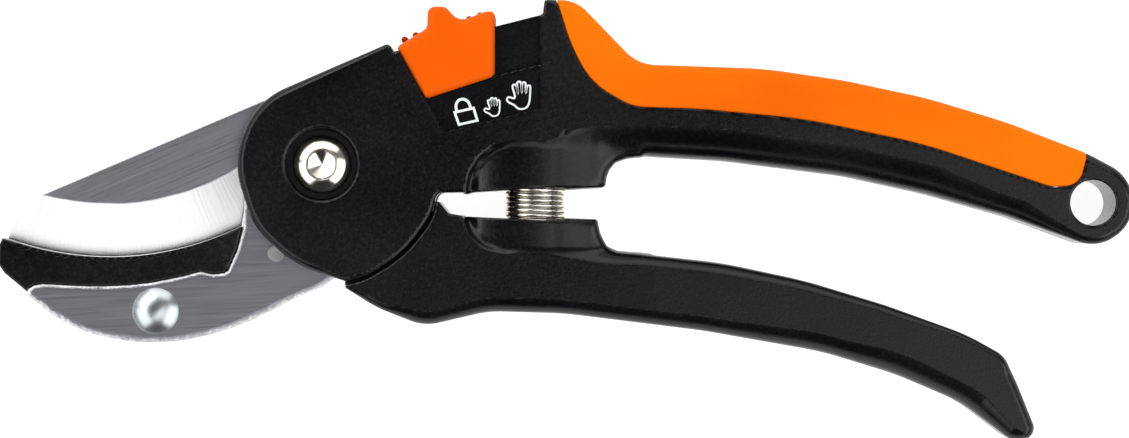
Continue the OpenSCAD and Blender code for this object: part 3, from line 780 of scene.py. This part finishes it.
def f_lower(X, Y, Z):
    d, w = outline(X, Y, LOWER)
    f = edge_rounded(d, w, Z, T_LO)
    g = smax(barrel(X, Z, -6.0, 18.0, 8.45, 12.0), -8.4 - Y, 0.5)
    high = 0.4 - (X + 19.2) * 0.0455
    g = smax(g, Y - high, 0.45)
    web = poly(X, Y, [(0, -0.6), (5.7, -0.8), (6.5, -2.9), (8, -5.1), (9.9, -6.3), (12.5, -6.75),
                      (16, -6.95), (16, -9), (0, -9)])
    az = np.abs(Z - ZM)
    web = smax(web, oval(X - 5.0, Z - ZM, 16.0, 6.8), 2.0)
    g = smin(g, web, np.clip(az * 0.45, 0.15, 2.6))
    f = np.maximum(smin(f, g, np.clip(az * 0.35, 0.15, 1.8)), az - T_LO)
    rs = np.sqrt((X - SX) ** 2 + (Z - ZM) ** 2)
    f = smax(f, -np.maximum(rs - 6.0, -11.0 - Y), 0.4)
    f = smax(f, -np.maximum(poly(X, Y, HEEL), np.abs(Z - ZM) - 4.4), 0.15)
    # thin web round the blade's tang, behind the seam
    f = smin(f, smax(poly(X, Y, WEB), az - 1.9, 0.3), 0.2)
    return f


lower = contour("lower_core_skin", f_lower, (-41.2, -41.5, 0.4), (87.2, 3.8, 17.6),
                (0.34, 0.34, 0.34))
put(lower, black, "lower_handle", "black_nylon", "lower_handle_core")

# ---------------------------------------------------------------- lock slider


def f_slider(X, Y, Z):
    d, _ = outline(X, Y, SLIDER)
    az = np.abs(Z - ZM)
    f = smax(d, np.maximum(Z - 18.0, 0.4 - Z), 1.6)
    s = (X - TX) * math.cos(SLOPE) + (Y - TY) * math.sin(SLOPE)
    v = -(X - TX) * math.sin(SLOPE) + (Y - TY) * math.cos(SLOPE)
    hollow = np.maximum(v - 0.3, az - 6.6)
    lip = poly(X, Y, [(-33, 21.5), (-26.6, 23.1), (-10, 27.3), (-10, 15), (-33, 15)])
    hollow = np.minimum(hollow, np.maximum(lip, az - 8.2))
    f = smax(f, -hollow, 0.15)
    # ridges across the top for the thumb
    for x, y in ((-29.6, 33.2), (-27.5, 34.0), (-17.6, 37.0), (-15.6, 37.7)):
        rod = np.sqrt((X - x) ** 2 + (Y - y) ** 2) - 0.62
        f = smin(f, smax(rod, az - 5.0, 1.0), 0.15)
    return f


slider = contour("slider_skin", f_slider, (-31.2, 21.4, 0.4), (-12.6, 39.5, 18),
                 (0.24, 0.24, 0.24))
put(slider, orange_hard, "lock_slider", "orange_slider", "lock_slider")

# ---------------------------------------------------------------- cutting head

BLADE = ([(-103.8, -3.7), (-103.2, -2.0), (-102.1, 0.2), (-100.7, 2.1), (-99.3, 3.4),
          (-97.7, 4.2)]
         + [polar(15.4, a) for a in range(113, -8, -6)]
         + [polar(15.6, -13), (-26.5, 0.5), (-20, -6.3), (-13, -11.6), (1.6, -11.6),
            (4, -10.8), (11.5, -11.4),
            (13, -13.2), (11.5, -15.0), (3, -15.2), (-12, -14.8), (-22, -14.6), (-30, -12.3),
            (-38.5, -8.0)]
         + [polar(15.4, a) for a in range(-100, -161, -10)])


def f_blade(X, Y, Z):
    az = np.abs(Z - ZM)
    d = poly(X, Y, BLADE + BLADE_EDGE)
    r = np.sqrt((X - EX) ** 2 + (Y - EY) ** 2)
    t = np.clip((r - (EDGE_R - 10)) / 10, 0, 1)
    on = np.clip((-56.5 - X) / 2.0, 0, 1)
    half = 1.5 - on * (1.36 * t - 0.22 * t * (1 - t))
    f = smax(d, (az - half) * 0.99, 0.22)
    rp = np.sqrt((X - PX) ** 2 + (Y - PY) ** 2)
    return np.maximum(f, 4.53 - rp)


BLADE_EDGE = [(EX + (EDGE_R - 0.12) * math.cos(math.radians(a)),
               EY + (EDGE_R - 0.12) * math.sin(math.radians(a)))
              for a in [-63.9 - i * 2.31 for i in range(21)]]
blade = contour("blade_skin", f_blade, (-104, -15.4, 7.4), (13.2, 25.6, 10.6),
                (0.36, 0.36, 0.24))
put(blade, blade_steel, "lower_handle", "blade_steel", "blade")

PLATE = ([(-99.7, -14.4), (-95.3, -17.8), (-92, -19.7), (-88.7, -21.2), (-85.3, -22.1),
          (-82, -22.7), (-79, -23.0), (-76, -23.1), (-72.6, -22.9), (-69.3, -22.4),
          (-65.6, -21.6), (-62, -20.5), (-58.3, -19.0), (-54.7, -17.3), (-51.3, -15.5),
          (-48, -13.9), (-45.5, -12.9), (-42, -10.5)]
         + [polar(14.5, a) for a in range(-60, -9, 10)]
         + [(-27, 12.6), (-14, 17.45), (3, 17.6), (5, 20.2), (3, 22.6), (-26, 22.0)]
         + [polar(14.5, a) for a in range(60, 169, 12)]
         + [(-59.4, 4.4), (-59.6, -2.0), (-60.7, -5.9), (-62.4, -9.7), (-63.2, -10.2),
            (-65.4, -10.4), (-67.6, -9.9), (-70.5, -10.7), (-73.4, -11.3), (-77, -12.0),
            (-80.7, -12.4), (-84.7, -12.6), (-88.7, -12.6), (-93, -12.4), (-96.8, -12.2),
            (-98.6, -12.5), (-99.7, -13.2)])


def plate_shape(zlo, zhi, front):
    def f(X, Y, Z):
        d = poly(X, Y, PLATE)
        # sheared edge: a rolled corner on one side, a torn one on the other
        near = np.exp(-(d / 0.9) ** 2)
        d = d + 0.07 * near * ripple(X, Y, 0 * Z, 5.1, 0.4)
        out = (zhi - Z) if front else (Z - zlo)
        low = np.clip((-12.0 - Y) / 4, 0, 1)
        fall = 0.17 + 0.14 * low + (0.05 + 0.1 * low) * ripple(X, Y, 0 * Z, 1.3, 2.2) \
            + 0.05 * ripple(X, Y, 0 * Z, 4.3, 1.2)
        face = np.maximum(zlo - Z, Z - zhi)
        chamfer = 0.5 * (d + 0.05) + 0.87 * (fall - np.clip(out, 0, 2))
        g = smax(d, face, 0.12)
        g = smax(g, chamfer, 0.3)
        rp = np.sqrt((X - PX) ** 2 + (Y - PY) ** 2)
        return np.maximum(g, 3.02 - rp)
    return f


for name, zlo, zhi, front, cad in (("plate_front_skin", 11.0, 13.02, True, "anvil_plate_front"),
                                   ("plate_back_skin", 4.98, 7.0, False, "anvil_plate_back")):
    plate = contour(name, plate_shape(zlo, zhi, front), (-99.9, -23.4, zlo), (5.2, 24.6, zhi),
                    (0.36, 0.36, 0.3))
    put(plate, plate_steel, "upper_handle", "jaw_steel", cad)

PAD_LOW = [(-105.2, -8.5), (-104, -10.2), (-99.9, -13.6), (-99.2, -12.9), (-98.6, -12.5),
           (-96.8, -12.2), (-93, -12.4), (-88.7, -12.6), (-84.7, -12.6), (-80.7, -12.4),
           (-77, -12.0), (-73.4, -11.3), (-70.5, -10.7), (-67.6, -9.9), (-65.4, -10.4),
           (-63.2, -10.2), (-62.5, -9.7), (-60.9, -5.9), (-59.9, -1.9), (-61, 6), (-100, 6),
           (-104.6, -4.0), (-105.1, -5.0)]
TONGUE = [(-96, -11.5), (-93.5, -16.5), (-86, -20), (-76, -21.6), (-67, -20.2), (-63.5, -16),
          (-64, -9.8), (-80, -11)]


def f_pad(X, Y, Z):
    az = np.abs(Z - ZM)
    r = np.sqrt((X - EX) ** 2 + (Y - EY) ** 2)
    d = poly(X, Y, PAD_LOW)
    tip = poly(X, Y, [(-106, -10), (-106, -4.3), (-104.6, -3.6), (-103.2, -3.9), (-102, 0),
                      (-58, 0), (-58, -16), (-103, -16)])
    top = EDGE_R - r
    bar = smax(np.maximum(d, tip), top, 0.25)
    bar = smax(bar, az - 3.6, 0.5)
    # scallops along both upper edges
    ang = np.degrees(np.arctan2(Y - EY, X - EX))
    k = np.clip(np.round((ang + 68.5) / -1.49), 0, 26)
    a = np.radians(-68.5 - 1.49 * k)
    sx, sy = EX + (EDGE_R + 0.05) * np.cos(a), EY + (EDGE_R + 0.05) * np.sin(a)
    sc = np.sqrt((X - sx) ** 2 + (Y - sy) ** 2) - 0.62
    bar = smax(bar, -np.maximum(sc, 2.75 - az), 0.1)
    # end wall with a shallow rib
    rib = np.maximum(np.abs(X + 62.9 + 0.12 * (Y + 8)) - 0.22, np.abs(Y + 7.0) - 2.6)
    bar = np.minimum(bar, np.maximum(rib, az - 3.72))
    tongue = np.maximum(poly(X, Y, TONGUE), az - 2.0)
    f = np.minimum(bar, tongue)
    rr = np.sqrt((X - RX) ** 2 + (Y - RY) ** 2)
    return np.maximum(f, 2.05 - rr)


pad = contour("anvil_pad_skin", f_pad, (-105.3, -21.8, 5.3), (-59.7, -1.5, 12.8),
              (0.22, 0.22, 0.26))
put(pad, black_pad, "upper_handle", "pad_plastic", "anvil_pad")


def rivet_profile(r, shank, lo, hi, rise):
    big = (r * r + rise * rise) / (2 * rise)
    top = math.asin(r / big)
    cap = [(big * math.sin(top * i / 24), big * (math.cos(top * i / 24) - math.cos(top)))
           for i in range(25)]
    out = [(0.0, lo - rise)] + [(x, lo - z) for x, z in cap[1:]]
    out += [(shank, lo), (shank, hi)]
    out += [(x, hi + z) for x, z in reversed(cap[1:])]
    out.append((0.0, hi + rise))
    return out


rivet = lathe("anvil_rivet_skin", rivet_profile(4.35, 2.0, 5.0, 13.0, 1.55), RX, RY)
put(rivet, rivet_steel, "upper_handle", "rivet_steel", "anvil_rivet")

# ---------------------------------------------------------------- pivot bolt


def f_bolt(X, Y, Z):
    r = np.sqrt((X - PX) ** 2 + (Y - PY) ** 2)
    head = smax(r - 5.4, 15.2 - Z, 0.2)
    cap = np.sqrt(r ** 2 + (Z - 9.35) ** 2) - 8.35
    head = smax(head, cap, 0.35)
    shank = np.maximum(r - 3.0, np.maximum(1.2 - Z, Z - 15.6))
    shank = smax(shank, (r - 3.0) * 0.7 + (1.7 - Z) * 0.7, 0.1)
    f = np.minimum(head, shank)
    hexa = hexagon(X, Y, 5.0, 84)
    cone = 0.7 * (r - 3.25 - 0.9 * (Z - 17.62))
    floor_z = 16.0 - 0.42 * (2.6 - np.minimum(r, 2.6))
    sock = np.maximum(np.minimum(hexa, cone), floor_z - Z)
    return smax(f, -sock, 0.08)


bolt = contour("pivot_bolt_skin", f_bolt, (PX - 5.5, PY - 5.5, 1.2), (PX + 5.5, PY + 5.5, 17.7),
               (0.16, 0.16, 0.16))
put(bolt, chrome, "upper_handle", "bolt_chrome", "pivot_bolt")

# ---------------------------------------------------------------- return spring

TURNS, WIRE, COIL = 26, 0.45, 5.1


def make_spring():
    per, sides = 28, 12
    n = TURNS * per
    y0 = SEAT_LO + WIRE + 0.02
    rise = SEAT_UP - SEAT_LO - 2 * WIRE - 0.04
    verts, weights, faces = [], [], []
    for i in range(n + 1):
        a = 2 * math.pi * i / per
        t = i / n
        # the coil rises evenly over all its turns
        y = y0 + rise * t
        cx, cz = COIL * math.cos(a), COIL * math.sin(a)
        for j in range(sides):
            g = 2 * math.pi * j / sides
            k = COIL + WIRE * math.cos(g)
            verts.append(((SX + k * math.cos(a)) * MM, (y + WIRE * math.sin(g)) * MM,
                          (ZM + k * math.sin(a)) * MM))
            weights.append(t)
    for i in range(n):
        for j in range(sides):
            k = (j + 1) % sides
            faces.append((i * sides + j, (i + 1) * sides + j, (i + 1) * sides + k, i * sides + k))
    faces.append(tuple(range(sides)))
    faces.append(tuple(n * sides + j for j in range(sides - 1, -1, -1)))
    ob = solid_mesh("return_spring_wire", verts, faces, 50)
    return ob, weights


spring, spring_weights = make_spring()
spring.data.materials.append(wire_steel)
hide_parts("return_spring")
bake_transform(spring, "lower_handle", "upper_handle", start=(SX * MM, SEAT_LO * MM, ZM * MM),
         end=(SX * MM, SEAT_UP * MM, ZM * MM))
att = spring.data.attributes["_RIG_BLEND"]
att.data.foreach_set("value", np.array(spring_weights, np.float32))

# ---------------------------------------------------------------- position marks


def ribbon(verts, faces, pts, width, z, closed=True):
    """A flat printed line along points, in mm."""
    P = np.array(pts, float)
    n = len(P)
    half = width / 2
    base = len(verts)
    for i in range(n):
        a = P[(i - 1) % n] if closed or i > 0 else P[i]
        b = P[(i + 1) % n] if closed or i < n - 1 else P[i]
        u = (P[i] - a)
        v = (b - P[i])
        u = u / (np.hypot(*u) + 1e-9)
        v = v / (np.hypot(*v) + 1e-9)
        t = u + v
        t = t / (np.hypot(*t) + 1e-9)
        nx, ny = -t[1], t[0]
        c = max(0.55, abs(float(np.dot((nx, ny), (-u[1], u[0])))) if np.hypot(*u) > 0 else 1.0)
        for s, zz in ((1, z), (-1, z), (1, z - 0.05), (-1, z - 0.05)):
            verts.append(((P[i][0] + s * nx * half / c) * MM, (P[i][1] + s * ny * half / c) * MM,
                          zz * MM))
    last = n if closed else n - 1
    for i in range(last):
        a, b = base + 4 * i, base + 4 * ((i + 1) % n)
        faces.append((a, a + 1, b + 1, b))
        faces.append((a + 2, b + 2, b + 3, a + 3))
        faces.append((a, b, b + 2, a + 2))
        faces.append((a + 1, a + 3, b + 3, b + 1))
    if not closed:
        a, b = base, base + 4 * (n - 1)
        faces.append((a, a + 2, a + 3, a + 1))
        faces.append((b, b + 1, b + 3, b + 2))


def smooth_path(pts, closed=True, sub=4):
    P = [np.array(p, float) for p in pts]
    n = len(P)
    out = []
    for i in range(n if closed else n - 1):
        p0 = P[(i - 1) % n] if closed or i > 0 else P[i]
        p1, p2 = P[i], P[(i + 1) % n]
        p3 = P[(i + 2) % n] if closed or i < n - 2 else P[(i + 1) % n]
        for k in range(sub):
            t = k / sub
            out.append(0.5 * ((2 * p1) + (p2 - p0) * t + (2 * p0 - 5 * p1 + 4 * p2 - p3) * t * t
                              + (3 * p1 - p0 - 3 * p2 + p3) * t ** 3))
    if not closed:
        out.append(P[-1])
    return out


HAND = [(-0.10, -0.60), (-0.30, -0.42), (-0.56, -0.26), (-0.60, -0.12), (-0.50, -0.05),
        (-0.30, -0.12), (-0.24, 0.0), (-0.32, 0.40), (-0.24, 0.50), (-0.15, 0.44), (-0.09, 0.10),
        (-0.11, 0.52), (-0.02, 0.62), (0.07, 0.54), (0.08, 0.12), (0.12, 0.50), (0.21, 0.58),
        (0.28, 0.50), (0.26, 0.10), (0.34, 0.38), (0.42, 0.42), (0.48, 0.34), (0.42, -0.20),
        (0.34, -0.46), (0.18, -0.60)]


def place(pts, cx, cy, s, turn):
    c, k = math.cos(turn), math.sin(turn)
    return [(cx + s * (x * c - y * k), cy + s * (x * k + y * c)) for x, y in pts]


mv, mf = [], []
FLOOR = 17.06
ribbon(mv, mf, smooth_path(place(HAND, -8.1, 22.75, 4.1, 0.06)), 0.34, FLOOR)
ribbon(mv, mf, smooth_path(place(HAND, -13.1, 20.6, 2.75, 0.10)), 0.28, FLOOR)
ribbon(mv, mf, [(-20.2, 19.6), (-19.4, 17.35), (-16.0, 18.1), (-16.7, 20.4)], 0.46, FLOOR)
ribbon(mv, mf, smooth_path([(-19.85, 19.9), (-19.95, 20.9), (-19.55, 21.75), (-18.65, 22.05),
                            (-17.75, 21.6), (-17.25, 20.5)], False), 0.5, FLOOR, False)
marks = solid_mesh("position_marks", mv, mf, 30)
put(marks, ink, "upper_handle", "black_nylon")

# ---------------------------------------------------------------- hidden CAD pieces

for name, mat in (("heel_rivet", pin_steel), ("bolt_washer", black_oxide), ("pivot_nut", pin_steel),
                  ("pivot_bushing", bronze), ("thrust_washer_front", bronze),
                  ("thrust_washer_back", bronze), ("tang_pin_inner", pin_steel),
                  ("tang_pin_outer", pin_steel), ("lock_pin", pin_steel),
                  ("detent_leaf", wire_steel), ("upper_spring_seat", black_pad),
                  ("lower_spring_seat", black_pad)):
    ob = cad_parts[name]
    if isinstance(ob, str):
        ob = bpy.data.objects[ob]
    for s in ob.material_slots:
        s.material = mat
    if not ob.material_slots:
        ob.data.materials.append(mat)

# ---------------------------------------------------------------- floor and light

bpy.context.scene.view_settings.view_transform = "Standard"
bpy.ops.mesh.primitive_plane_add(size=6.0, location=(0, 0, -0.0002))
floor = bpy.context.object
floor.name = "floor"
fm, nt, bs = new_mat("floor_light_table")
bs.inputs["Base Color"].default_value = (0.32, 0.32, 0.32, 1)
bs.inputs["Roughness"].default_value = 0.9
bs.inputs["Specular IOR Level"].default_value = 0.1
bs.inputs["Emission Color"].default_value = (1, 1, 1, 1)
bs.inputs["Emission Strength"].default_value = 0.95
floor.data.materials.append(fm)

world = bpy.data.worlds.new("studio")
bpy.context.scene.world = world
world.use_nodes = True
nt = world.node_tree
bg = nt.nodes["Background"]
tc = nt.nodes.new("ShaderNodeTexCoord")
sp = nt.nodes.new("ShaderNodeSeparateXYZ")
nt.links.new(tc.outputs["Generated"], sp.inputs[0])
lift = ramp(nt, sp.outputs[2], 0.82, 0.95, 1.0, 0.0)
side = ramp(nt, sp.outputs[1], -0.7, 0.7, 0.04, 0.30)
wrap = ramp(nt, sp.outputs[2], 0.10, 0.24, 1.0, 0.0)
diag = add(nt, sp.outputs[0], sp.outputs[1], "SUBTRACT")
top = add(nt, ramp(nt, diag, -0.10, 0.06, 0.03, 0.08), ramp(nt, diag, 0.055, 0.22, 0.0, 2.1))
sky = mix_col(nt, lift, top, side)
sky = mix_col(nt, wrap, sky, (1.3, 1.3, 1.32))
nt.links.new(sky, bg.inputs[0])
bg.inputs[1].default_value = 1.0


def area(name, loc, size, size_y, radiance, target=(0, 0, 0.01)):
    ld = bpy.data.lights.new(name, "AREA")
    ld.shape = "RECTANGLE"
    ld.size, ld.size_y = size, size_y
    ld.energy = radiance * math.pi * size * size_y
    ob = bpy.data.objects.new(name, ld)
    bpy.context.scene.collection.objects.link(ob)
    ob.location = loc
    d = Vector(target) - Vector(loc)
    ob.rotation_euler = d.to_track_quat("-Z", "Y").to_euler()
    ob.visible_camera = False
    return ob


def aimed(az, el, dist=1.1):
    a, e = math.radians(az), math.radians(el)
    return (dist * math.cos(e) * math.cos(a), dist * math.cos(e) * math.sin(a), dist * math.sin(e))


area("left_back_box", aimed(138, 42), 1.05, 0.70, 2.15)
area("left_front_box", aimed(203, 42), 1.05, 0.70, 2.15)
area("right_box", aimed(-22, 42), 1.25, 0.70, 2.7)
area("back_box", aimed(84, 34), 1.3, 0.6, 1.7)
